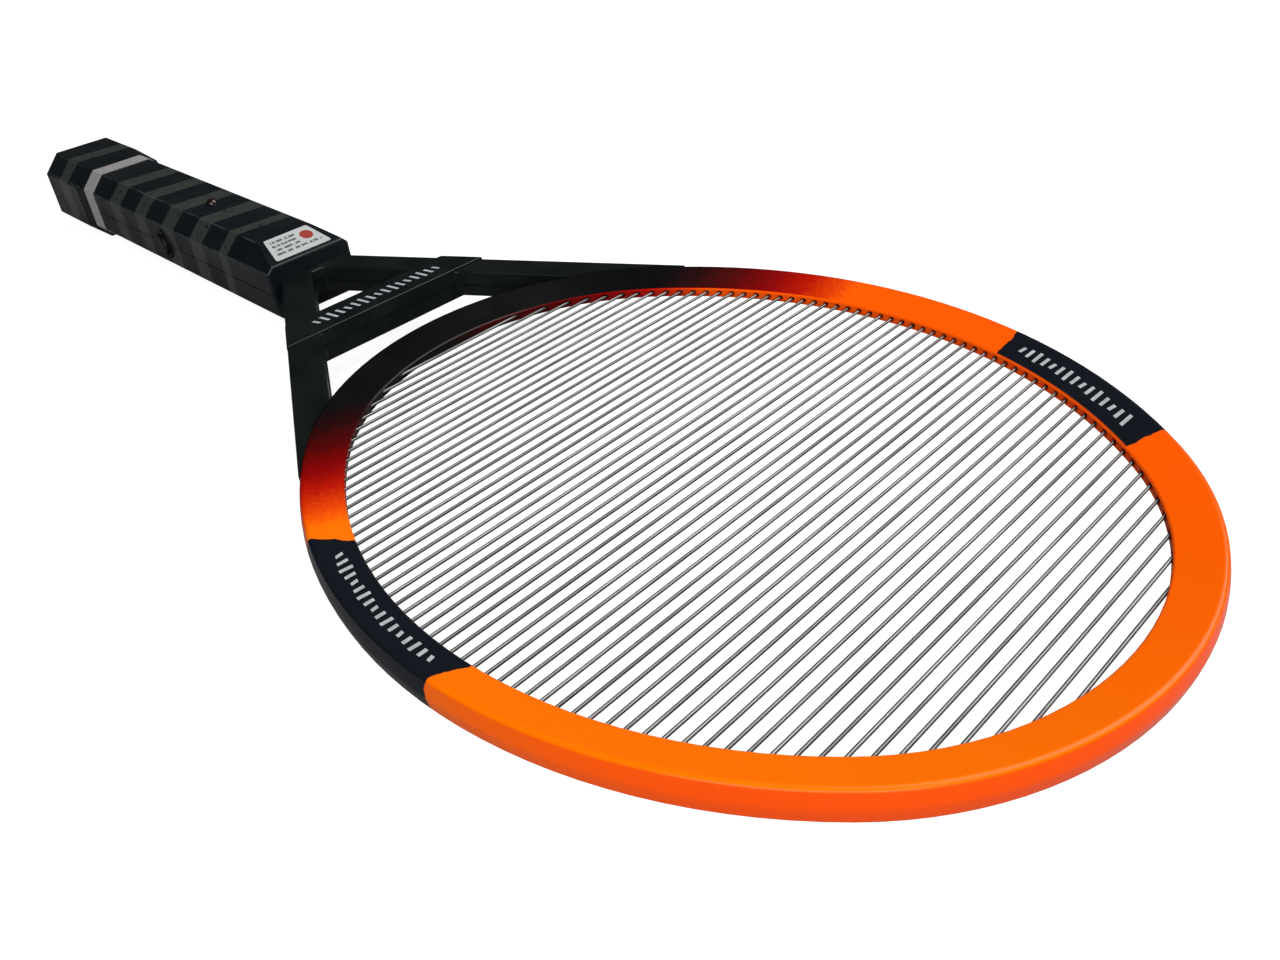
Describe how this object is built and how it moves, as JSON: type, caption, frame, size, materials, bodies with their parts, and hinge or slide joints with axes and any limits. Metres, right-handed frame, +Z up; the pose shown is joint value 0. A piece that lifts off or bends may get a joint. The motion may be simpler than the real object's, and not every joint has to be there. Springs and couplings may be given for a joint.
{
  "type": "electric fly swatter",
  "caption": "Racket-shaped electric fly swatter: oval hoop strung with parallel steel wires, forked throat with a crossbar, eight-sided battery handle with a push button and a pull-off cap.",
  "frame": {"origin": "on the surface it rests on, under the middle of the racket's length and width", "axes": "+X along the racket from the butt of the handle to the tip of the hoop, +Y across the face away from the side that carries the button, +Z up out of the hoop's upper face"},
  "size_m": [0.536, 0.22, 0.0346],
  "materials": {
    "hoop_plastic": "glossy orange, fading through red to black at the throat, with two black printed bands",
    "throat_plastic": "glossy, very dark green-grey",
    "handle_plastic": "glossy black with grey-green stripes",
    "cap_plastic": "glossy black with one grey-green stripe",
    "band_silver": "silver-grey satin",
    "grid_wire": "bright drawn steel",
    "bus_steel": "tinned strip",
    "lead_red": "red insulation",
    "lead_black": "black insulation",
    "screw_steel": "zinc plated",
    "sticker_paper": "pale with plain grey bars and a red disc",
    "cell_can": "printed wrapper with a bright end",
    "contact_metal": "nickel plated spring steel",
    "board_laminate": "green laminate with tinned tracks",
    "ferrite": "dark grey",
    "coil_winding": "enamelled copper under clear tape",
    "film_capacitor": "brown-red moulded case",
    "disc_capacitor": "blue dipped",
    "diode_body": "black with a grey ring",
    "resistor_body": "tan with colour bands",
    "transistor_body": "black",
    "lamp_lens": "dark red, translucent",
    "switch_plastic": "black",
    "button_plastic": "glossy black",
    "bezel_plastic": "glossy black"
  },
  "bodies": {
    "racket": {"hoop_top_shell": "hoop_plastic", "hoop_bottom_shell": "hoop_plastic", "live_wires": "grid_wire", "earth_wires": "grid_wire", "live_bus_strip": "bus_steel", "earth_bus_strip": "bus_steel", "live_lead": "lead_red", "earth_lead": "lead_black", "throat_top_shell": "throat_plastic", "throat_bottom_shell": "throat_plastic", "throat_screws": "screw_steel", "handle_top_shell": "handle_plastic", "handle_bottom_shell": "handle_plastic", "handle_screws": "screw_steel", "silver_band": "band_silver", "sticker": "sticker_paper", "rear_cell": "cell_can", "front_cell": "cell_can", "front_contact": "contact_metal", "rear_contact": "contact_metal", "cell_lead": "lead_red", "circuit_board": "board_laminate", "transformer_core": "ferrite", "transformer_coil": "coil_winding", "storage_capacitor": "film_capacitor", "multiplier_capacitors": "disc_capacitor", "rectifier_diodes": "diode_body", "resistors": "resistor_body", "transistor": "transistor_body", "status_light": "lamp_lens", "switch_body": "switch_plastic", "button_bezel": "bezel_plastic"},
    "battery_cap": {"end_cap": "cap_plastic", "cap_contact_plate": "contact_metal", "cap_spring": "contact_metal"},
    "button": {"push_button": "button_plastic", "switch_plunger": "switch_plastic"}
  },
  "joints": [
    {"name": "cap_pull", "type": "slide", "parent": "racket", "child": "battery_cap", "axis": [-1, 0, 0], "range_m": [0, 0.045]},
    {"name": "button_press", "type": "slide", "parent": "racket", "child": "button", "axis": [0, 1, 0], "range_m": [0, 0.0015], "stiffness_N_per_m": 700}
  ]
}
